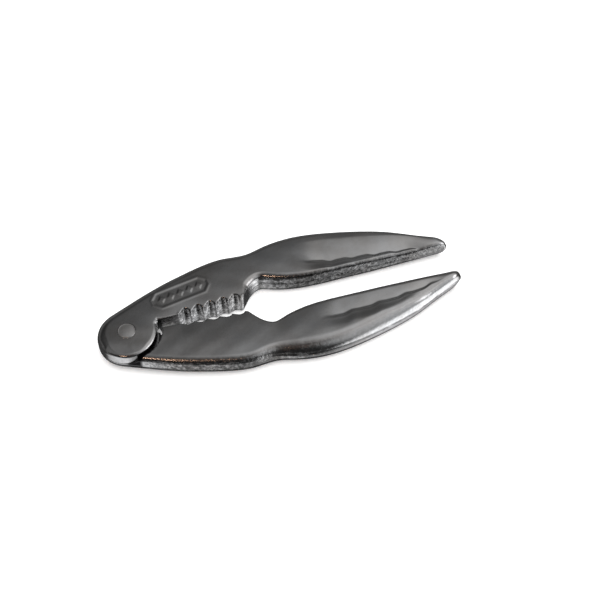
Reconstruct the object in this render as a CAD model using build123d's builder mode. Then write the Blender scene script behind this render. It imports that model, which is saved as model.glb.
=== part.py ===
from build123d import *
import os
from math import atan2, cos, degrees, radians, sin, sqrt

# Two-lever nutcracker. The two levers are the same die casting, one of them turned over, so that
# each brings a half-thickness eye to the pivot. One rivet with flush heads holds the two eyes.
# Millimetres, +Z up. The tool lies flat on Z = 0 with its length along X, pivot at the -X end.
#
# The casting is drawn closed: pivot on the origin, mid-plane on Z = 0, the line where the two
# levers meet on Y = 0 and the lever above it. Its front face is the one with the panel.

os.makedirs("parts", exist_ok=True)

# ---- casting, overall
thickness = 12.6            # over both faces
pivot_to_tip = 156.4        # rivet axis to the handle's end
edge_round = 1.8            # rounding along both faces
corner_round = 1.2          # rounding of the outline's corners, seen from above
rest_opening = 5.6          # angle between the levers as they lie, degrees from closed

# ---- eye and lap joint
eye_radius = 13.5
recess_margin = 2.5         # the seat for the other lever's eye is this much larger
lap_gap = 0.2               # between the faces of the two eyes

# ---- jaw
root_land = 0.25            # height of the plain stretch next to the eye above the meeting line
root_length = 8.5           # that stretch, from the eye's rim
root_ramp = 1.2             # and the ramp from it up to the tooth line
tooth_line = 1.4            # height of the tooth tips above the meeting line
flute_count = 5
flute_start = 5.2           # root's end to the first flute
flute_pitch = 5.85
flute_to_end = 4.3          # last flute to the jaw's outer corner
jaw_back = 26.9             # height of the jaw's back at its fullest
jaw_back_before = 2.5       # that far before the jaw's end
jaw_rise = [(0.403, 0.803), (0.693, 0.937)]     # shares of the run and of the height up to there
flute_radius = 2.8
flute_depth_front = 2.3     # each flute runs shallower from the front face to the back face
flute_depth_back = 1.1

# ---- notch and neck between jaw and handle
notch_depth = 9.7           # height of the notch's top above the meeting line
notch_after = 10.4          # jaw's end to the notch's top
notch_to_handle = [(9.5, -3.6), (4.5, -1.6)]    # from the notch's top, down to the handle
notch_to_jaw = (-4.9, -2.2)
notch_slope = -130.0        # direction in which the notch comes down on the jaw's corner
neck_after = 8.4            # jaw's end to the neck
neck_drop = 1.1             # the back is this much lower at the neck than on the jaw
neck_to_handle = (8.2, 1.4)

# ---- handle
handle_back = 28.2          # height of the handle's back at its fullest
handle_back_after = 31.6    # jaw's end to that point
handle_side = 3.7           # height of its inner side where the notch ends
handle_side_after = 30.4
handle_side_run = (15.0, -1.1)      # from there to where the side is straight
tip_radius = 1.9
tip_side = 0.15             # gap from the tip to the meeting line
tip_thickness = 9.5         # the faces curve in to this at the tip
taper_share = 0.365         # of the handle, from its fullest point, before they begin to

# ---- finger channel: a row of shallow oval hollows on each face
channel_after = 8.5         # handle's fullest point to the first hollow
channel_end_gap = 9.0       # last hollow to the tip
channel_share = 0.50        # width of a hollow against the handle's width there
channel_depth = 1.1
channel_overlap = 1.15      # length of a hollow against the distance between hollows
hollow_height = 5.0         # half height of the oval that cuts a hollow
lobes_front = 6
lobes_back = 5

# ---- panel on the front face: a sunk field with plain lozenges
panel_length = 27.0
panel_height = 8.6
panel_before_end = 26.5     # panel's centre to the jaw's end
panel_up = 12.6
panel_slope = 7.4
panel_depth = 0.5
panel_corner = 3.0
lozenge_count = 5
lozenge_length = 3.2
lozenge_height = 3.8
lozenge_rise = 0.3
panel_margin = 5.0          # field's end to the first lozenge's centre

# ---- rivet
shank_radius = 3.0
head_radius = 4.0
head_depth = 1.6
head_chamfer = 0.35
rivet_clearance = 0.05      # running fit, on the radius and under the upper head
head_below_face = 0.1       # the heads end this far under the faces

half = thickness / 2
half_opening = rest_opening / 2
recess_radius = eye_radius + recess_margin

# The jaw, the notch and the handle follow one another from the eye's rim outwards.
root_end = eye_radius + root_length
flute_first = root_end + flute_start
jaw_end = flute_first + (flute_count - 1) * flute_pitch + flute_to_end
jaw_back_at = jaw_end - jaw_back_before
notch_at = jaw_end + notch_after
neck_at = jaw_end + neck_after
neck_back = jaw_back - neck_drop
handle_back_at = jaw_end + handle_back_after
handle_side_at = jaw_end + handle_side_after
channel_start = handle_back_at + channel_after
taper_start = handle_back_at + taper_share * (pivot_to_tip - handle_back_at)
panel_at = (jaw_end - panel_before_end, panel_up)


def at_angle(centre, radius, angle):
    """Point on a circle at an angle from +X, in degrees."""
    return (centre[0] + radius * cos(radians(angle)), centre[1] + radius * sin(radians(angle)))


def heading(angle):
    """Unit direction at an angle from +X, in degrees."""
    return at_angle((0, 0), 1, angle)


# The back leaves the eye along a tangent, and the root land meets the eye's rim from the side.
back_slope = 20.0
back_start = at_angle((0, 0), eye_radius, 90 + back_slope)
root_start = (sqrt(eye_radius**2 - root_land**2), root_land)

# The tip is an arc. The back comes down to it steeply and the inner side arrives nearly level.
tip_centre = (pivot_to_tip - tip_radius, tip_side + tip_radius)
tip_back_slope = -38.0
tip_side_slope = -2.8
tip_back_point = at_angle(tip_centre, tip_radius, 90 + tip_back_slope)
tip_side_point = at_angle(tip_centre, tip_radius, tip_side_slope - 90)

# From its fullest point to the tip the back falls by these shares of its run and of its drop.
back_fall = [(0.22, 0.105), (0.435, 0.28), (0.65, 0.50), (0.865, 0.80)]
handle_run = tip_back_point[0] - handle_back_at
handle_drop = handle_back - tip_back_point[1]
fall_points = [
    (handle_back_at + run * handle_run, handle_back - drop * handle_drop) for run, drop in back_fall
]

# Points that the back and the notch pass through.
jaw_points = [(run * jaw_back_at, height * jaw_back) for run, height in jaw_rise]
neck_points = [(neck_at, neck_back), (neck_at + neck_to_handle[0], neck_back + neck_to_handle[1])]
side_start = (handle_side_at + handle_side_run[0], handle_side + handle_side_run[1])
notch_points = [(notch_at + x, notch_depth + y) for x, y in notch_to_handle + [(0, 0), notch_to_jaw]]


def handle_at(x):
    """Height of the handle's centre line above the meeting line, and its width, at x."""
    back = [(handle_back_at, handle_back)] + fall_points + [tip_back_point]
    side = [(handle_side_at, handle_side), tip_side_point]
    heights = []
    for edge in (back, side):
        for (x_a, y_a), (x_b, y_b) in zip(edge, edge[1:]):
            if x_a <= x <= x_b:
                heights.append(y_a + (y_b - y_a) * (x - x_a) / (x_b - x_a))
                break
    return (heights[0] + heights[1]) / 2, heights[0] - heights[1]


# Towards the tip each face follows one long arc, tangent to the flat where it begins.
taper_drop = (thickness - tip_thickness) / 2
taper_run = pivot_to_tip - taper_start
taper_arc = (taper_run**2 + taper_drop**2) / (2 * taper_drop)


def face_height(x):
    """Height of the front face above the mid-plane, at x."""
    run = max(0.0, x - taper_start)
    return half - (taper_arc - sqrt(taper_arc**2 - run**2))


# ================================================================ the casting
with BuildPart() as casting:
    with BuildSketch(Plane.XY.offset(-half)):
        with BuildLine():
            Spline(
                back_start,
                *jaw_points,
                (jaw_back_at, jaw_back),
                *neck_points,
                (handle_back_at, handle_back),
                *fall_points,
                tip_back_point,
                tangents=[heading(back_slope), heading(tip_back_slope)],
            )
            ThreePointArc(tip_back_point, at_angle(tip_centre, tip_radius, 0), tip_side_point)
            Line(tip_side_point, side_start)
            Spline(
                side_start,
                (handle_side_at, handle_side),
                *notch_points,
                (jaw_end, tooth_line),
                tangents=[heading(180 + tip_side_slope), heading(notch_slope)],
            )
            Polyline(
                (jaw_end, tooth_line),
                (root_end + root_ramp, tooth_line),
                (root_end, root_land),
                root_start,
            )
            ThreePointArc(root_start, (0, -eye_radius), (-eye_radius, 0))
            ThreePointArc((-eye_radius, 0), at_angle((0, 0), eye_radius, 145), back_start)
        make_face()
        eye_corner = vertices().sort_by_distance(root_start)[0]
        jaw_corner = vertices().sort_by_distance((jaw_end, tooth_line))[0]
        fillet([eye_corner, jaw_corner], radius=corner_round)
    extrude(amount=thickness)
    with BuildSketch(Plane.XZ):
        with BuildLine():
            beyond = pivot_to_tip + thickness
            arc_end = (pivot_to_tip, half - taper_drop)
            TangentArc((taper_start, half), arc_end, tangent=(1, 0))
            Polyline(arc_end, (beyond, half - taper_drop), (beyond, thickness))
            Polyline((beyond, thickness), (taper_start, thickness), (taper_start, half))
        make_face()
        mirror(about=Plane.XZ)
    extrude(amount=jaw_back, both=True, mode=Mode.SUBTRACT)
    rounded = edges().filter_by(Axis.Z, reverse=True).filter_by(Axis.Y, reverse=True)
    fillet(rounded, radius=edge_round)

    # Seat for the other lever's eye: the casting keeps its front half there.
    with BuildSketch(Plane.XY.offset(-half)):
        Circle(recess_radius)
    extrude(amount=half + lap_gap / 2, mode=Mode.SUBTRACT)

    # Cracking flutes across the jaw, leaning so that they are deeper at the front face.
    depth_middle = (flute_depth_front + flute_depth_back) / 2
    flute_lean = (0, flute_depth_front - flute_depth_back, thickness)
    for i in range(flute_count):
        flute_at = (flute_first + i * flute_pitch, tooth_line + depth_middle - flute_radius, 0)
        with BuildSketch(Plane(origin=flute_at, z_dir=flute_lean)):
            Circle(flute_radius)
        extrude(amount=thickness, both=True, mode=Mode.SUBTRACT)

    # Bore and counterbore for the rivet.
    with Locations((0, 0, half)):
        CounterBoreHole(
            radius=shank_radius + rivet_clearance,
            counter_bore_radius=head_radius + rivet_clearance,
            counter_bore_depth=head_below_face + head_depth,
        )

    # Finger channel on both faces.
    for side, lobes in ((1, lobes_front), (-1, lobes_back)):
        spacing = (pivot_to_tip - channel_end_gap - channel_start) / (lobes - 1)
        for i in range(lobes):
            lobe_at = channel_start + i * spacing
            middle, width = handle_at(lobe_at)
            # The oval's half width and half length that leave the wanted size at the face.
            spread = sqrt(1 - (1 - channel_depth / hollow_height) ** 2)
            half_width = channel_share * width / 2 / spread
            half_length = channel_overlap * spacing / 2 / spread
            oval = scale(
                Sphere(1.0, mode=Mode.PRIVATE),
                by=(half_length, half_width, hollow_height),
                mode=Mode.PRIVATE,
            )
            turn = degrees(atan2(middle - tip_centre[1], lobe_at - tip_centre[0])) + 180
            height = side * (face_height(lobe_at) + hollow_height - channel_depth)
            with Locations(Location((lobe_at, middle, height), (0, 0, turn))):
                add(oval, mode=Mode.SUBTRACT)

    # Panel on the front face.
    panel_plane = Plane(
        origin=(*panel_at, half),
        x_dir=(*heading(panel_slope), 0),
        z_dir=(0, 0, 1),
    )
    with BuildSketch(panel_plane):
        Rectangle(panel_length, panel_height)
        chamfer(vertices(), length=panel_corner)
    extrude(amount=-panel_depth, mode=Mode.SUBTRACT)
    row = panel_length - 2 * panel_margin
    with BuildSketch(panel_plane.offset(-panel_depth)):
        with GridLocations(row / (lozenge_count - 1), 1, lozenge_count, 1):
            Polygon(
                (-lozenge_length / 2, 0),
                (0, lozenge_height / 2),
                (lozenge_length / 2, 0),
                (0, -lozenge_height / 2),
            )
    extrude(amount=lozenge_rise)

# ================================================================ levers at rest
# The pivot stands where the middle of the tool's length falls on X = 0.
swung_casting = Rotation(0, 0, half_opening) * casting.part
reach = swung_casting.bounding_box().max.X
pivot_x = (eye_radius - reach) / 2
pivot = Location((pivot_x, 0, half))

with BuildPart() as upper_lever:
    add(pivot * swung_casting)
upper_lever.part.label = "upper_lever"
export_step(upper_lever.part, "parts/upper_lever.step")

with BuildPart() as lower_lever:
    add(pivot * Rotation(180, 0, 0) * swung_casting)
lower_lever.part.label = "lower_lever"
export_step(lower_lever.part, "parts/lower_lever.step")

# ================================================================ rivet
# The lower head seats in the lower lever. Under the upper head the upper lever can turn.
seat = head_below_face + head_depth
upper_seat = thickness - seat + rivet_clearance
with BuildPart() as pivot_rivet:
    with BuildSketch(Plane(origin=(pivot_x, 0, seat))):
        Circle(shank_radius)
    extrude(amount=upper_seat - seat)
    with BuildSketch(Plane(origin=(pivot_x, 0, head_below_face))):
        Circle(head_radius)
    extrude(amount=head_depth)
    with BuildSketch(Plane(origin=(pivot_x, 0, upper_seat))):
        Circle(head_radius)
    extrude(amount=head_depth - rivet_clearance)
    rims = edges().filter_by(GeomType.CIRCLE)
    chamfer([rims.sort_by(Axis.Z)[0], rims.sort_by(Axis.Z)[-1]], length=head_chamfer)
pivot_rivet.part.label = "pivot_rivet"
export_step(pivot_rivet.part, "parts/pivot_rivet.step")
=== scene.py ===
import math

import bmesh
import bpy
import numpy as np
from mathutils import Matrix, Vector


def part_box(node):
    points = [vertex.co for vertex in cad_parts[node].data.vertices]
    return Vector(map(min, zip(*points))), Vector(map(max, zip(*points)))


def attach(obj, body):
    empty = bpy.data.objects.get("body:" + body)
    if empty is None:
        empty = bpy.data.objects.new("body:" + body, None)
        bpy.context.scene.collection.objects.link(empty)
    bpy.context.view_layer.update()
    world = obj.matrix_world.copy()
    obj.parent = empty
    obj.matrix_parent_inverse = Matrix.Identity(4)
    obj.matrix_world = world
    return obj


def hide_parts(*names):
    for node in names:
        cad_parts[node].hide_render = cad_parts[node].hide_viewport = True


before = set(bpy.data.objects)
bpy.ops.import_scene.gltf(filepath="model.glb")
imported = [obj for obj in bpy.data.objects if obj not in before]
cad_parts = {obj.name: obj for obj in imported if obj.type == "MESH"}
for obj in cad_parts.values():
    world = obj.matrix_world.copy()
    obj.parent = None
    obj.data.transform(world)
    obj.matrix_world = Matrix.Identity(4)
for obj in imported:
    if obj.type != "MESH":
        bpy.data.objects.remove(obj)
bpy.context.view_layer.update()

# ==================================================================== the levers
# Two identical zinc die castings, chrome plated and lapped at the pivot; one is turned over.
# Each is an eye, a jaw with five cracking flutes, a nut hollow, and a handle that narrows to a
# rounded tip, with a shallow knuckled channel for the fingers on both faces.
# The casting is drawn closed, in millimetres, pivot on the origin, mid-plane on z = 0, and the
# line where the levers meet on y = 0.
half_thickness = 6.3
eye_radius = 13.5
recess_radius = 16.0
lap_gap = 0.2
half_opening = math.radians(2.8)

tooth_line = 1.4
root_land = 0.25
root_end = 22.0
root_ramp = 1.2
jaw_end = 54.9
jaw_straight_end = jaw_end - 0.9
flute_first = 27.2
flute_pitch = 5.85
flute_count = 5
flute_reach = 2.78
flute_bottom = 0.35
flute_depth_front = 2.5
flute_depth_back = 1.1
long_flank_bow = 1.25

tip_radius = 1.9
tip_side = 0.15
pivot_to_tip = 156.4
tip_half_thickness = 4.75
nose_length = 5.5
taper_start = 112.0
back_slope = math.radians(20)
curve_step = 0.25


def curve_through(points, start_slope, end_slope, step=curve_step):
    """A smooth cubic through the points, with given directions at its two ends."""
    p = np.array(points, float)
    t = np.r_[0, np.cumsum(np.hypot(*np.diff(p, axis=0).T))]
    n = len(p)
    gaps = np.diff(t)
    system = np.zeros((n, n))
    right = np.zeros((n, 2))
    system[0, 0] = system[-1, -1] = 1
    right[0] = math.cos(start_slope), math.sin(start_slope)
    right[-1] = math.cos(end_slope), math.sin(end_slope)
    for i in range(1, n - 1):
        a, b = gaps[i - 1], gaps[i]
        system[i, i - 1 : i + 2] = b, 2 * (a + b), a
        right[i] = 3 * (b * (p[i] - p[i - 1]) / a + a * (p[i + 1] - p[i]) / b)
    slopes = np.linalg.solve(system, right)
    at = np.linspace(0, t[-1], int(t[-1] / step) + 2)
    k = np.clip(np.searchsorted(t, at, side="right") - 1, 0, n - 2)
    h = gaps[k][:, None]
    u = ((at - t[k]) / gaps[k])[:, None]
    return (
        p[k] * (1 + 2 * u) * (1 - u) ** 2
        + slopes[k] * h * u * (1 - u) ** 2
        + p[k + 1] * u**2 * (3 - 2 * u)
        + slopes[k + 1] * h * u**2 * (u - 1)
    )


def arc(centre, radius, start, end, step=0.12):
    """Points on a circle between two angles, in degrees."""
    count = max(3, int(abs(math.radians(end - start)) * radius / step))
    a = np.radians(np.linspace(start, end, count))
    return np.c_[centre[0] + radius * np.cos(a), centre[1] + radius * np.sin(a)]


# The back runs from the eye's far side over the jaw, the neck and the handle to the tip.
tip_centre = np.array([pivot_to_tip - tip_radius, tip_side + tip_radius])
tip_back = arc(tip_centre, tip_radius, 52, 0)
tip_inner = arc(tip_centre, tip_radius, 0, -92.8)
back_start = eye_radius * np.array([-math.sin(back_slope), math.cos(back_slope)])
belly = np.array([86.5, 28.2])
run, drop = tip_back[0] - belly
back_fall = [(0.22, 0.105), (0.435, 0.28), (0.65, 0.50), (0.865, 0.80)]
back_curve = curve_through(
    [back_start, (21.1, 21.6), (36.3, 25.2), (52.4, 26.9), (63.3, 25.8), (71.5, 27.2), belly]
    + [(belly[0] + r * run, belly[1] + d * drop) for r, d in back_fall]
    + [tip_back[0]],
    back_slope,
    math.radians(-38),
)
back_edge = np.r_[arc((0, 0), eye_radius, 180, 110), back_curve[1:-1], tip_back]

# The inner side runs from the eye under the jaw, up into the nut hollow and along the handle.
hollow_slope = math.radians(50)
corner_run = 1.1
hollow_curve = curve_through(
    [(jaw_end, tooth_line), (60.4, 7.5), (65.3, 9.7), (69.8, 8.1), (74.8, 6.1)]
    + [(85.3, 3.7), (100.3, 2.6)],
    hollow_slope,
    math.radians(-2.8),
)
eye_corner_angle = -4.7
land_start = 14.6
eye_corner = curve_through(
    [arc((0, 0), eye_radius, eye_corner_angle, 0)[0], (13.75, -0.1), (land_start, root_land)],
    math.radians(90 + eye_corner_angle),
    0.0,
    step=0.08,
)


def jaw_edge(depth):
    """The jaw's lower edge with its flutes: a long flank towards the eye, a steep one beyond."""
    x = np.arange(land_start, jaw_straight_end, 0.03)
    ramp = np.clip((x - root_end) / root_ramp, 0, 1)
    y = root_land + (tooth_line - root_land) * ramp * ramp * (3 - 2 * ramp)
    for i in range(flute_count):
        along = x - flute_first - i * flute_pitch
        before = np.clip((flute_bottom - along) / (flute_bottom + flute_reach), 0, 1)
        beyond = np.clip((along - flute_bottom) / (flute_reach - flute_bottom), 0, 1)
        long_flank = 1 - before**long_flank_bow
        steep_flank = np.sqrt(1 - beyond**2)
        y = np.maximum(y, tooth_line + depth * np.minimum(long_flank, steep_flank))
    soft = np.hanning(11)
    y[5:-5] = np.convolve(y, soft / soft.sum(), "valid")
    return np.c_[x, y]


def inner_edge(depth):
    """The whole inner side: eye, jaw, the jaw's rounded corner, nut hollow, handle, tip."""
    jaw = jaw_edge(depth)
    joined = int(corner_run / curve_step)
    corner = curve_through([jaw[-1], hollow_curve[joined]], 0.0, hollow_slope, step=0.08)
    after = hollow_curve[joined + 1 :]
    side = np.linspace(after[-1], tip_inner[-1], 200)[1:-1]
    return np.r_[
        arc((0, 0), eye_radius, 180, 360 + eye_corner_angle)[:-1],
        eye_corner,
        jaw[1:],
        corner[1:],
        after,
        side,
        tip_inner[::-1],
    ]


def rising(edge):
    """The edge with x made to rise strictly, so that y can be read off at any x."""
    x = np.maximum.accumulate(edge[:, 0]) + np.arange(len(edge)) * 1e-7
    return np.c_[x, edge[:, 1]]


def stations(edges, longest=0.36, shortest=0.035):
    """Places along x for the cross-sections, close together where an edge runs steeply."""
    x = np.unique(np.concatenate([np.r_[e[:, 0]] for e in edges]))
    grid = np.arange(x[0], x[-1], 0.01)
    pace = np.full(len(grid), longest)
    for e in edges:
        y = np.interp(grid, e[:, 0], e[:, 1])
        steep = np.abs(np.gradient(y, grid))
        reach = np.convolve(np.pad(steep, 5, mode="edge"), np.ones(11) / 11, "valid")
        pace = np.minimum(pace, longest / np.sqrt(1 + (1.1 * reach) ** 2))
    ends = np.minimum(grid - x[0], x[-1] - grid)
    pace = np.clip(np.minimum(pace, 0.03 + 0.35 * np.sqrt(ends)), shortest, longest)
    travelled = np.r_[0, np.cumsum(0.01 / pace)]
    count = int(travelled[-1]) + 1
    return np.interp(np.linspace(0, travelled[-2], count), travelled[:-1], grid)


def nearest(points, edge):
    """Distance from each point to an edge, and the index of the edge's closest point."""
    best = np.full(len(points), 1e9)
    index = np.zeros(len(points), int)
    chunk = 4000
    for i in range(0, len(points), chunk):
        p = points[i : i + chunk]
        square = (p[:, None, 0] - edge[None, :, 0]) ** 2 + (p[:, None, 1] - edge[None, :, 1]) ** 2
        index[i : i + chunk] = square.argmin(1)
        best[i : i + chunk] = np.sqrt(square.min(1))
    for side in (-1, 0):
        start = np.clip(index + side, 0, len(edge) - 2)
        leg = edge[start + 1] - edge[start]
        t = np.clip(((points - edge[start]) * leg).sum(1) / (leg**2).sum(1), 0, 1)
        best = np.minimum(best, np.hypot(*(points - edge[start] - t[:, None] * leg).T))
    return best, index


def step_up(value, low, high):
    """From 0 to 1 between two values, starting and ending softly."""
    t = np.clip((value - low) / (high - low), 0, 1)
    return t * t * (3 - 2 * t)


front_edge = rising(inner_edge(flute_depth_front))
rear_edge = rising(inner_edge(flute_depth_back))
outer_edge = rising(back_edge)
station_x = stations([front_edge, rear_edge, outer_edge])
# Across each face, from the inner side to the outer, the points are closest at the rims.
across = 58
share = 0.5 - 0.5 * np.cos(np.linspace(0, math.pi, across))
share = 0.55 * share + 0.45 * np.linspace(0, 1, across)
neck_at, neck_dip, neck_reach = 66.0, 0.25, 7.0

# Rounding of each rim, as places along the lever and radii there. The back face is the softer
# one, and the handle's back rolls over from the parting line.
rim_rounds = {
    ("front", "inner"): (
        [-13.5, -12, -8, 3, 8, 12.5, 18, 55.5, 59, 68, 82, 150],
        [4.4, 3.0, 1.5, 1.2, 2.3, 2.0, 0.4, 0.5, 3.0, 2.8, 2.0, 1.6],
    ),
    ("front", "outer"): ([-13.5, -8, 30, 60, 95, 115, 150], [4.4, 4.9, 4.4, 4.0, 3.4, 2.7, 2.4]),
    ("rear", "inner"): ([10, 20, 56, 66, 90, 150], [1.5, 0.7, 0.9, 2.0, 2.6, 3.0]),
    ("rear", "outer"): ([0, 30, 54, 63, 76, 150], [2.4, 2.9, 3.2, 4.6, 6.1, 6.1]),
}
# How far the rims and walls were left as cast, given the same way: the eye and the handle's back
# are polished, the flutes, the jaw's back and the handle's inner side are not. The same values
# darken the plating's colour there: partly the pitted skin, partly painted shade on the jaw's walls
# and the handle's inner side, where shade falls between the levers.
rim_finish_and_shade = {
    "inner": (
        [0, 18, 24, 50, 56, 64, 72, 110, 156],
        [0.15, 0.5, 0.95, 0.95, 0.45, 0.5, 1.0, 0.95, 0.6],
    ),
    "outer": (
        [0, 14, 48, 57, 66, 78, 90, 156],
        [0.25, 1.0, 1.0, 0.45, 0.7, 0.7, 0.28, 0.2],
    ),
}
# The faces are crowned, and lie a little below the panel's rim, on which the tool rests.
face_crown, face_below_rim = 0.42, 0.13

# The finger channel: one slope of each face sinks towards a knuckled line and rises past it.
# Each has its far limit and its line as shares of the handle's width from the inner side.
channels = {
    "front": {
        "limit": 0.76,
        "line": ([88, 100, 148], [0.32, 0.235, 0.12]),
        "sink": 1.7,
        "knuckles": 6,
    },
    "rear": {
        "limit": 0.04,
        "line": ([84, 105, 148], [0.43, 0.43, 0.52]),
        "sink": 1.15,
        "knuckles": 5,
    },
}
channel_start, channel_end = 95.0, 147.4
channel_rises, channel_leaves = (84.0, 98.0), (136.0, 151.0)

panel_at = np.array([28.4, 12.6])
panel_slope = math.radians(7.4)
panel_length, panel_height, panel_corner = 27.0, 8.6, 3.0
panel_margin = 4.4
lozenge_count, lozenge_length, lozenge_height = 5, 4.0, 4.6


def face_half_thickness(x):
    run_in = np.clip((x - taper_start) / (pivot_to_tip - taper_start), 0, 1)
    body = half_thickness - (half_thickness - tip_half_thickness) * run_in**2
    nose = np.clip((x - (pivot_to_tip - nose_length)) / nose_length, 0, 0.985)
    return body * np.sqrt(1 - nose**2)


def panel_relief(x, y):
    """The sunk panel with its raised rim and plain lozenges, on the front face."""
    c, s = math.cos(panel_slope), math.sin(panel_slope)
    along = (x - panel_at[0]) * c + (y - panel_at[1]) * s
    aside = np.abs(-(x - panel_at[0]) * s + (y - panel_at[1]) * c)
    square = np.maximum(np.abs(along) - panel_length / 2, aside - panel_height / 2)
    cut = (np.abs(along) + aside - (panel_length + panel_height) / 2 + panel_corner) / math.sqrt(2)
    outside = np.maximum(square, cut)
    rim = 0.08 * np.exp(-(((outside - 0.35) / 0.6) ** 2))
    sunk = -0.15 * step_up(-outside, -0.2, 1.2)
    pitch = (panel_length - 2 * panel_margin) / (lozenge_count - 1)
    column = np.clip(np.round(along / pitch), -(lozenge_count // 2), lozenge_count // 2)
    beside = np.abs(along - column * pitch)
    inside = 1 - beside / (lozenge_length / 2) - aside / (lozenge_height / 2)
    return rim + sunk + 0.2 * step_up(inside, -0.05, 0.45)


def channel_relief(x, share, width, face):
    """Depth of the knuckled finger channel, over the handle's width counted from the inner side."""
    channel = channels[face]
    along = (x - channel_start) / (channel_end - channel_start)
    turn = 2 * math.pi * along * (channel["knuckles"] - 1)
    even_line = np.interp(x, *channel["line"])
    line = even_line + (0.38 * np.cos(turn) - 0.12 * np.cos(2 * turn + 0.8)) / (2 * width)
    slope = np.clip((share - channel["limit"]) / (even_line - channel["limit"]), 0, None)
    past = (share - line) * 2 * width * np.sign(even_line - channel["limit"])
    floor_depth = channel["sink"] * np.minimum(slope, 1) ** 1.15
    lip = 1 - 0.42 * step_up(past, -0.45, 1.35) - 0.58 * step_up(past, 1.1, 6.5)
    fade = step_up(x, *channel_rises) * (1 - step_up(x, *channel_leaves))
    return -floor_depth * lip * fade


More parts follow.
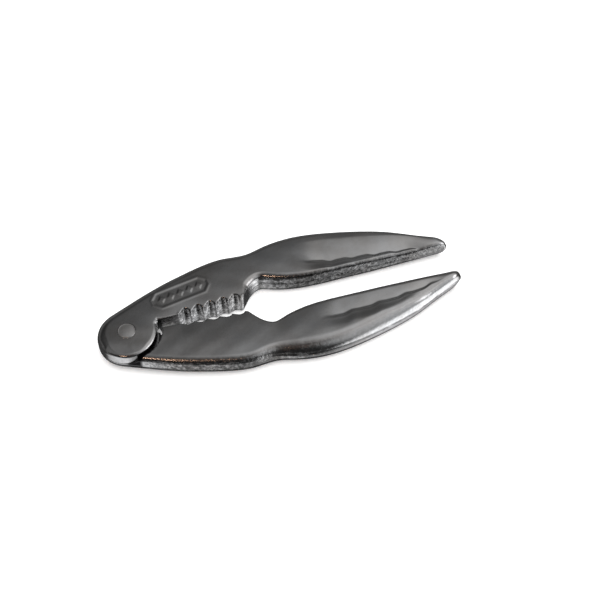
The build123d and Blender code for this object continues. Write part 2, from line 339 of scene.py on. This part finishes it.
def casting_mesh(name):
    """The whole casting as one closed skin of cross-sections, with how raw its surface is and how much
    painted shade its walls take.
    """
    inner_edges = {"front": front_edge, "rear": rear_edge}
    inner = {face: np.interp(station_x, *edge.T) for face, edge in inner_edges.items()}
    outer = np.interp(station_x, *outer_edge.T)
    # The crown passes over the flutes, so it is counted from an inner side without them.
    smooth_low = np.interp(
        station_x,
        [-13.5, -9, 0, 9, 24, 54, 66, 86, 156.4],
        [0, -10, -13.5, -9, 2.5, 2.5, 8, 3.7, 0.15],
    )
    crown_middle = ((smooth_low + outer) / 2)[:, None]
    crown_reach = np.maximum((outer - smooth_low) / 2, 0.25)[:, None]
    heights, raw_and_shade_grids, grids = {}, {}, {}
    for face in ("front", "rear"):
        low = inner[face][:, None]
        y = low + (outer[:, None] - low) * share[None, :]
        x = np.repeat(station_x[:, None], across, 1)
        width = np.maximum((outer - inner[face]) / 2, 0.02)[:, None]
        half = face_half_thickness(x)
        to_inner, inner_at = nearest(np.c_[x.ravel(), y.ravel()], inner_edges[face])
        to_outer, outer_at = nearest(np.c_[x.ravel(), y.ravel()], outer_edge)
        from_middle = (y - crown_middle) / crown_reach
        z = half - face_below_rim - face_crown * np.minimum(from_middle**2, 1)
        z += channel_relief(x, np.repeat(share[None, :], len(x), 0), width, face)
        near_rim, rawness_and_shade = np.zeros_like(x), np.zeros_like(x)
        room_for, drops = np.where(x < 0, eye_radius, 0.97 * width + 0.02), []
        for side, away, at, edge in (
            ("inner", to_inner, inner_at, inner_edges[face]),
            ("outer", to_outer, outer_at, outer_edge),
        ):
            radius = np.interp(edge[at, 0].reshape(x.shape), *rim_rounds[(face, side)])
            radius = np.minimum(radius, np.minimum(room_for, 0.95 * half))
            inside = np.clip(away.reshape(x.shape) / radius, 0, 1)
            drops.append(radius * (1 - np.sqrt(1 - (1 - inside) ** 2)))
            near_rim = np.maximum(near_rim, 1 - inside)
            # The rawness is partly the as-cast skin and partly painted shade on the low walls.
            finish_and_shade = np.interp(edge[at, 0].reshape(x.shape), *rim_finish_and_shade[side])
            rawness_and_shade = np.maximum(rawness_and_shade, finish_and_shade * (1 - inside) ** 1.5)
        # Round the eye both rims are one; elsewhere the two roundings may meet and add up.
        z -= np.where(x < 0, np.maximum(*drops), drops[0] + drops[1])
        z = np.maximum(z, 0.02)
        z -= neck_dip * np.exp(-(((x - neck_at) / neck_reach) ** 2)) * (1 - near_rim)
        if face == "front":
            z += panel_relief(x, y)
        # A long, faint unevenness, as a polished casting keeps.
        z += 0.022 * np.sin(x / 3.1 + 0.6 * y)
        z += 0.018 * np.sin(x / 5.3 - y / 2.2 + 1) * (1 - near_rim)
        z = np.minimum(z, half_thickness - 0.004)
        grids[face], heights[face], raw_and_shade_grids[face] = (x, y), z, rawness_and_shade
    # The skin goes round: front face, outer wall, rear face, inner wall with the flutes.
    rows, raw_and_shade_rows = [], []
    x, y = grids["front"]
    for k in range(across):
        rows.append(np.c_[x[:, k], y[:, k], heights["front"][:, k]])
        raw_and_shade_rows.append(raw_and_shade_grids["front"][:, k])
    fall = [0.04, 0.1, 0.18, 0.27, 0.35, 0.42, 0.47, 0.5, 0.53, 0.58, 0.65, 0.73, 0.82, 0.9, 0.96]
    flash = 0.07 + 0.02 * np.sin(station_x * 0.37) + 0.015 * np.sin(station_x * 0.83 + 2)
    flash = flash * step_up(station_x, 4, 20) * (1 - 0.6 * step_up(station_x, 146, 155))
    for f in fall:
        z = heights["front"][:, -1] * (1 - f) - heights["rear"][:, -1] * f
        ridge = flash * np.exp(-((z / 0.3) ** 2))
        ridge += 0.12 * (1 - np.abs(z) / half_thickness)
        rows.append(np.c_[station_x, outer + ridge, z])
        raw_and_shade_rows.append(np.interp(station_x, *rim_finish_and_shade["outer"]))
    x, y = grids["rear"]
    for k in range(across - 1, -1, -1):
        rows.append(np.c_[x[:, k], y[:, k], -heights["rear"][:, k]])
        raw_and_shade_rows.append(raw_and_shade_grids["rear"][:, k])
    for f in fall:
        z = -heights["rear"][:, 0] * (1 - f) + heights["front"][:, 0] * f
        scoop = step_up(z, -1.5, half_thickness)
        low = inner["rear"] + (inner["front"] - inner["rear"]) * scoop
        open_part = step_up(station_x, 58, 64) * (1 - step_up(station_x, 135, 146))
        ridge = (0.04 + 2.2 * flash * open_part) * np.exp(-((z / 0.35) ** 2))
        ridge += 0.2 * open_part * (1 - np.abs(z) / half_thickness)
        rows.append(np.c_[station_x, low - ridge, z])
        raw_and_shade_rows.append(np.interp(station_x, *rim_finish_and_shade["inner"]))
    loops = np.stack(rows, 1)
    ring = loops.shape[1]
    quads = []
    for j in range(len(station_x) - 1):
        a = j * ring + np.arange(ring)
        b = j * ring + (np.arange(ring) + 1) % ring
        quads.append(np.c_[a, b, b + ring, a + ring])
    mesh = bpy.data.meshes.new(name)
    mesh.from_pydata(loops.reshape(-1, 3).tolist(), [], np.concatenate(quads).tolist())
    raw_and_shade = mesh.attributes.new("raw_and_shade", "FLOAT", "POINT")
    raw_and_shade.data.foreach_set("value", np.stack(raw_and_shade_rows, 1).reshape(-1).astype(np.float32))
    work = bmesh.new()
    work.from_mesh(mesh)
    bmesh.ops.remove_doubles(work, verts=work.verts, dist=0.004)
    bmesh.ops.holes_fill(work, edges=[e for e in work.edges if e.is_boundary])
    bmesh.ops.recalc_face_normals(work, faces=work.faces)
    work.to_mesh(mesh)
    work.free()
    return mesh


def turned(name, profile, segments=192):
    """A closed turned cutter or piece from a profile of (radius, height), about the z axis."""
    work = bmesh.new()
    angles = [2 * math.pi * i / segments for i in range(segments)]
    rings = []
    for radius, height in profile:
        if radius < 1e-6:
            rings.append([work.verts.new((0, 0, height))] * segments)
            continue
        ring = [(radius * math.cos(a), radius * math.sin(a), height) for a in angles]
        rings.append([work.verts.new(place) for place in ring])
    for low, high in zip(rings, rings[1:]):
        for i in range(segments):
            j = (i + 1) % segments
            corners = []
            for v in (low[i], low[j], high[j], high[i]):
                if v not in corners:
                    corners.append(v)
            work.faces.new(corners)
    bmesh.ops.recalc_face_normals(work, faces=work.faces)
    mesh = bpy.data.meshes.new(name)
    work.to_mesh(mesh)
    work.free()
    piece = bpy.data.objects.new(name, mesh)
    bpy.context.scene.collection.objects.link(piece)
    return piece


casting = bpy.data.objects.new("casting", casting_mesh("casting"))
bpy.context.scene.collection.objects.link(casting)

# The seat for the other lever's eye, with its edge broken, and the rivet's bore and counterbore.
bore_radius = 3.05
counterbore_radius, counterbore_depth = 4.05, 1.7
below = -half_thickness - 1
seat_cutter = turned(
    "seat_cutter",
    [
        (0, below),
        (recess_radius + 0.5, below),
        (recess_radius + 0.35, -half_thickness),
        (recess_radius, -half_thickness + 0.45),
        (recess_radius, lap_gap / 2),
        (0, lap_gap / 2),
    ],
)
bore_cutter = turned(
    "bore_cutter",
    [
        (0, -1),
        (bore_radius, -1),
        (bore_radius, half_thickness - counterbore_depth),
        (counterbore_radius, half_thickness - counterbore_depth),
        (counterbore_radius, half_thickness - 0.12),
        (counterbore_radius + 0.25, half_thickness + 0.1),
        (counterbore_radius + 0.25, half_thickness + 1),
        (0, half_thickness + 1),
    ],
    segments=96,
)
for cutter in (seat_cutter, bore_cutter):
    cut = casting.modifiers.new("cut", "BOOLEAN")
    cut.operation = "DIFFERENCE"
    cut.solver = "EXACT"
    cut.object = cutter
bpy.context.view_layer.update()
graph = bpy.context.evaluated_depsgraph_get()
cut_mesh = bpy.data.meshes.new_from_object(casting.evaluated_get(graph))
for spent in (casting, seat_cutter, bore_cutter):
    bpy.data.objects.remove(spent)

pivot_x = sum(c[0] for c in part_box("pivot_rivet")) / 2
swing = Matrix.Rotation(half_opening, 4, "Z")
to_metres = Matrix.Scale(0.001, 4)
stand = Matrix.Translation((pivot_x, 0, half_thickness / 1000))
turn_over = Matrix.Rotation(math.pi, 4, "X")


def chrome(name):
    """Chrome over a die casting: bright on the polished faces, pitted along the raw edges, with painted
    shade on the low walls and in the lap seat.
    """
    material = bpy.data.materials.new(name)
    material.use_nodes = True
    nodes, links = material.node_tree.nodes, material.node_tree.links
    shader = nodes["Principled BSDF"]
    shader.inputs["Metallic"].default_value = 1.0
    place = nodes.new("ShaderNodeTexCoord").outputs["Object"]
    raw_and_shade = nodes.new("ShaderNodeAttribute")
    raw_and_shade.attribute_name = "raw_and_shade"

    def grain(scale, detail, rough=0.5):
        noise_node = nodes.new("ShaderNodeTexNoise")
        links.new(place, noise_node.inputs["Vector"])
        noise_node.inputs["Scale"].default_value = scale
        noise_node.inputs["Detail"].default_value = detail
        noise_node.inputs["Roughness"].default_value = rough
        return noise_node.outputs["Fac"]

    def ranged(value, low, high, to_low, to_high):
        node = nodes.new("ShaderNodeMapRange")
        links.new(value, node.inputs["Value"])
        node.inputs["From Min"].default_value = low
        node.inputs["From Max"].default_value = high
        node.inputs["To Min"].default_value = to_low
        node.inputs["To Max"].default_value = to_high
        return node.outputs[0]

    def math_node(operation, first, second):
        node = nodes.new("ShaderNodeMath")
        node.operation = operation
        for socket, value in zip(node.inputs, (first, second)):
            if isinstance(value, (int, float)):
                socket.default_value = value
            else:
                links.new(value, socket)
        return node.outputs[0]

    # Handling dulls the plating in cloudy patches, a little browner where it is thin.
    tint = nodes.new("ShaderNodeValToRGB")
    tint.color_ramp.elements[0].position = 0.34
    tint.color_ramp.elements[0].color = (0.50, 0.485, 0.475, 1)
    tint.color_ramp.elements[1].position = 0.66
    tint.color_ramp.elements[1].color = (0.585, 0.588, 0.595, 1)
    links.new(grain(62, 5, 0.6), tint.inputs[0])
    # The as-cast skin is darker in its pits; along the raw rims and walls this darkening is also
    # painted shade, for the shade on the low walls between the levers.
    deep = ranged(grain(620, 4, 0.7), 0.35, 0.56, 0.05, 0.8)
    kept = math_node("SUBTRACT", 1.0, math_node("MULTIPLY", deep, raw_and_shade.outputs["Fac"]))
    # Painted shade darkens the open part of the lap seat, the dark crescent between the other lever's
    # eye and the seat's wall, low down where shade falls.
    from_pivot = nodes.new("ShaderNodeVectorMath")
    from_pivot.operation = "SUBTRACT"
    links.new(place, from_pivot.inputs[0])
    from_pivot.inputs[1].default_value = stand.translation
    height = nodes.new("ShaderNodeSeparateXYZ")
    links.new(from_pivot.outputs[0], height.inputs[0])
    flat = nodes.new("ShaderNodeVectorMath")
    flat.operation = "MULTIPLY"
    links.new(from_pivot.outputs[0], flat.inputs[0])
    flat.inputs[1].default_value = (1, 1, 0)
    radius = nodes.new("ShaderNodeVectorMath")
    radius.operation = "LENGTH"
    links.new(flat.outputs[0], radius.inputs[0])
    outwards = radius.outputs["Value"]
    eye_rim, seat_rim = eye_radius / 1000, recess_radius / 1000
    past_eye = ranged(outwards, eye_rim + 0.0001, eye_rim + 0.0005, 0.0, 1.0)
    in_seat = ranged(outwards, seat_rim + 0.0007, seat_rim + 0.0002, 0.0, 1.0)
    from_lap = math_node("ABSOLUTE", height.outputs["Z"], 0.0)
    low_down = ranged(from_lap, 0.0058, 0.0042, 0.0, 0.88)
    seat_shade = math_node("MULTIPLY", math_node("MULTIPLY", past_eye, in_seat), low_down)
    kept = math_node("MULTIPLY", kept, math_node("SUBTRACT", 1.0, seat_shade))
    shaded = nodes.new("ShaderNodeVectorMath")
    shaded.operation = "SCALE"
    links.new(tint.outputs[0], shaded.inputs[0])
    links.new(kept, shaded.inputs["Scale"])
    links.new(shaded.outputs[0], shader.inputs["Base Color"])
    patches = ranged(grain(150, 4), 0.35, 0.68, 0.12, 0.22)
    pitted = math_node("MULTIPLY", raw_and_shade.outputs["Fac"], 0.11)
    links.new(math_node("ADD", patches, pitted), shader.inputs["Roughness"])

    lumps = math_node("MULTIPLY", grain(720, 3, 0.6), raw_and_shade.outputs["Fac"])
    pits = math_node("MULTIPLY", grain(2300, 2, 0.5), raw_and_shade.outputs["Fac"])
    peel = math_node("MULTIPLY", grain(420, 2, 0.5), 0.07)
    surface = math_node("ADD", math_node("ADD", lumps, peel), math_node("MULTIPLY", pits, 0.35))
    bump = nodes.new("ShaderNodeBump")
    bump.inputs["Strength"].default_value = 0.55
    bump.inputs["Distance"].default_value = 0.00042
    links.new(surface, bump.inputs["Height"])
    links.new(bump.outputs[0], shader.inputs["Normal"])
    return material


plating = chrome("plated_casting")
for name, body, turn in (
    ("upper_lever_casting", "moving_lever", Matrix.Identity(4)),
    ("lower_lever_casting", "fixed_lever", turn_over),
):
    mesh = cut_mesh.copy()
    mesh.transform(stand @ to_metres @ turn @ swing)
    mesh.name = name
    lever = bpy.data.objects.new(name, mesh)
    bpy.context.scene.collection.objects.link(lever)
    for polygon in mesh.polygons:
        polygon.use_smooth = True
    mesh.set_sharp_from_angle(angle=math.radians(58))
    mesh.materials.append(plating)
    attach(lever, body)
    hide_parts(name.replace("_casting", ""))
bpy.data.meshes.remove(cut_mesh)

# ==================================================================== the rivet
# A steel rivet through both eyes, its two heads peened flush into their counterbores.
rivet_steel = bpy.data.materials.new("rivet_steel")
rivet_steel.use_nodes = True
steel = rivet_steel.node_tree.nodes["Principled BSDF"]
steel.inputs["Base Color"].default_value = (0.72, 0.71, 0.70, 1)
steel.inputs["Metallic"].default_value = 1.0
nodes, links = rivet_steel.node_tree.nodes, rivet_steel.node_tree.links
steel_place = nodes.new("ShaderNodeTexCoord").outputs["Object"]
hammering = nodes.new("ShaderNodeTexNoise")
links.new(steel_place, hammering.inputs["Vector"])
hammering.inputs["Scale"].default_value = 900
hammering.inputs["Detail"].default_value = 4
dulled = nodes.new("ShaderNodeMapRange")
links.new(hammering.outputs["Fac"], dulled.inputs["Value"])
dulled.inputs["To Min"].default_value = 0.3
dulled.inputs["To Max"].default_value = 0.55
links.new(dulled.outputs[0], steel.inputs["Roughness"])
dents = nodes.new("ShaderNodeBump")
dents.inputs["Strength"].default_value = 0.4
dents.inputs["Distance"].default_value = 0.0002
links.new(hammering.outputs["Fac"], dents.inputs["Height"])
links.new(dents.outputs[0], steel.inputs["Normal"])
# Each head is nearly flat, with the peening tool's ring in it and a broken edge.
shank_radius, head_radius, head_height, head_below_face = 3.0, 4.0, 1.6, 0.1
low_face = head_below_face - half_thickness
rivet_profile = [
    (0, low_face),
    (3.3, low_face),
    (3.5, low_face + 0.06),
    (3.75, low_face),
    (head_radius, low_face + 0.3),
    (head_radius, low_face + head_height),
    (shank_radius, low_face + head_height),
]
rivet_profile += [(radius, -height) for radius, height in reversed(rivet_profile)]
rivet = turned("rivet_peened", rivet_profile, segments=96)
rivet.data.transform(stand @ to_metres)
for polygon in rivet.data.polygons:
    polygon.use_smooth = True
rivet.data.set_sharp_from_angle(angle=math.radians(30))
rivet.data.materials.append(rivet_steel)
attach(rivet, "fixed_lever")
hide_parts("pivot_rivet")

# ==================================================================== floor, light and camera
# The nutcracker lies on a plain pale sheet under a broad soft light from above. The chrome sees a
# studio of its own: grey walls, a paler ceiling, a dark side where the viewer stands, a bright
# table to the right and a small warm lamp on the left. The sheet and the light from above stay
# out of the mirror reflections.
sheet_paper = bpy.data.materials.new("pale_sheet")
sheet_paper.use_nodes = True
paper = sheet_paper.node_tree.nodes["Principled BSDF"]
paper.inputs["Base Color"].default_value = (0.86, 0.86, 0.86, 1)
paper.inputs["Roughness"].default_value = 0.9
paper.inputs["Specular IOR Level"].default_value = 0.1
paper.inputs["Emission Color"].default_value = (1, 1, 1, 1)
paper.inputs["Emission Strength"].default_value = 0.3
floor_reach = 3.0
floor_mesh = bpy.data.meshes.new("floor")
floor_corners = [(x * floor_reach, y * floor_reach, 0) for x, y in ((-1, -1), (1, -1), (1, 1), (-1, 1))]
floor_mesh.from_pydata(floor_corners, [], [(0, 1, 2, 3)])
floor = bpy.data.objects.new("floor", floor_mesh)
floor_mesh.materials.append(sheet_paper)
bpy.context.scene.collection.objects.link(floor)
floor.visible_glossy = False

world = bpy.data.worlds.new("studio")
bpy.context.scene.world = world
world.use_nodes = True
sky, wires = world.node_tree.nodes, world.node_tree.links
backdrop = sky["Background"]
looking = sky.new("ShaderNodeTexCoord").outputs["Generated"]
part = sky.new("ShaderNodeSeparateXYZ")
wires.new(looking, part.inputs[0])


def sky_math(operation, first, second=None, third=None):
    step = sky.new("ShaderNodeMath")
    step.operation = operation
    for socket, value in zip(step.inputs, (first, second, third)):
        if value is None:
            continue
        if isinstance(value, (int, float)):
            socket.default_value = value
        else:
            wires.new(value, socket)
    return step.outputs[0]


# Round the room from the wall behind, over the ceiling, down the viewer's side to the table.
room = sky_math("ARCTAN2", part.outputs["Z"], part.outputs["Y"])
room = sky_math("ADD", room, math.pi / 2)
room = sky_math("WRAP", room, 2 * math.pi, 0.0)
room = sky_math("DIVIDE", room, 2 * math.pi)
round_room = sky.new("ShaderNodeValToRGB")
round_room.color_ramp.interpolation = "EASE"
grey, warm = (1, 1, 1), (1.0, 0.97, 0.95)
tones = [
    (-90, 0.08, grey),
    (-30, 0.10, grey),
    (0, 0.22, grey),
    (15, 0.16, grey),
    (32, 0.085, grey),
    (45, 0.11, grey),
    (55, 0.165, grey),
    (66, 0.34, grey),
    (78, 0.46, grey),
    (92, 0.46, grey),
    (112, 0.34, warm),
    (128, 0.12, warm),
    (142, 0.10, warm),
    (160, 0.045, grey),
    (194, 0.04, grey),
    (214, 0.10, grey),
    (228, 0.40, grey),
    (238, 0.42, grey),
    (250, 0.20, grey),
    (269, 0.09, grey),
]
stops = round_room.color_ramp.elements
while len(stops) < len(tones):
    stops.new(0.5)
for stop, (angle, level, tint) in zip(stops, tones):
    stop.position = (angle + 90) / 360
    stop.color = (level * tint[0], level * tint[1], level * tint[2], 1)
wires.new(room, round_room.inputs[0])
above = sky_math("MAXIMUM", part.outputs["Z"], 0.0)
slant = sky_math("MULTIPLY_ADD", sky_math("MULTIPLY", part.outputs["X"], above), 2.4, 0.74)
slant = sky_math("MINIMUM", sky_math("MAXIMUM", slant, 0.4), 1.5)
tinted = sky.new("ShaderNodeVectorMath")
tinted.operation = "SCALE"
wires.new(round_room.outputs[0], tinted.inputs[0])
wires.new(slant, tinted.inputs["Scale"])
seen = tinted.outputs[0]


def glow(place, inner, outer, colour, below):
    """A soft round patch of light in the room, of two radii in degrees."""
    toward = Vector(place).normalized()
    facing = sky.new("ShaderNodeVectorMath")
    facing.operation = "DOT_PRODUCT"
    wires.new(looking, facing.inputs[0])
    facing.inputs[1].default_value = toward
    edge = sky.new("ShaderNodeMapRange")
    edge.interpolation_type = "SMOOTHSTEP"
    wires.new(facing.outputs["Value"], edge.inputs["Value"])
    edge.inputs["From Min"].default_value = math.cos(math.radians(outer))
    edge.inputs["From Max"].default_value = math.cos(math.radians(inner))
    added = sky.new("ShaderNodeVectorMath")
    added.operation = "MULTIPLY_ADD"
    wires.new(edge.outputs[0], added.inputs[0])
    added.inputs[1].default_value = colour
    wires.new(below, added.inputs[2])
    return added.outputs[0]


# The bright table to the right, which whitens the near handle's back, and its haze above.
seen = glow((0.70, -0.56, -0.44), 12, 33, (1.9, 1.93, 1.96), seen)
seen = glow((0.62, -0.55, 0.35), 14, 44, (0.5, 0.51, 0.52), seen)
seen = glow((0.88, -0.32, 0.30), 6, 20, (1.9, 1.9, 1.95), seen)
# Pale patches of table that the upright walls see, in front, to the right and to the left.
seen = glow((-0.04, -0.60, -0.80), 5, 22, (0.24, 0.24, 0.24), seen)
seen = glow((0.53, -0.26, -0.81), 9, 24, (0.5, 0.5, 0.51), seen)
seen = glow((-0.52, -0.35, -0.80), 13, 33, (0.8, 0.8, 0.81), seen)
# The small warm lamp and the warm wall round it.
seen = glow((-0.44, -0.70, 0.57), 2.2, 5, (11.0, 7.0, 4.8), seen)
seen = glow((-0.28, -0.72, 0.63), 6, 26, (0.03, 0.016, 0.010), seen)
wires.new(seen, backdrop.inputs["Color"])

overhead = bpy.data.lights.new("overhead", "AREA")
overhead.shape = "SQUARE"
overhead.size = 2.2
overhead.energy = 46
overhead_light = bpy.data.objects.new("overhead", overhead)
overhead_light.location = (0.1, 0.1, 1.5)
overhead_light.visible_glossy = False
bpy.context.scene.collection.objects.link(overhead_light)

scene = bpy.context.scene
scene.view_settings.view_transform = "Standard"
camera_data = bpy.data.cameras.new("camera")
camera = bpy.data.objects.new("camera", camera_data)
scene.collection.objects.link(camera)
scene.camera = camera
# The camera stands in front of the pivot and a little to its left, and looks down and right.
camera.location = (pivot_x - 0.01209, -0.31091, 0.44867)
camera.rotation_euler = (math.radians(36.12), 0, math.radians(-16.61))
camera_data.sensor_width = 36
camera_data.lens = 71.37
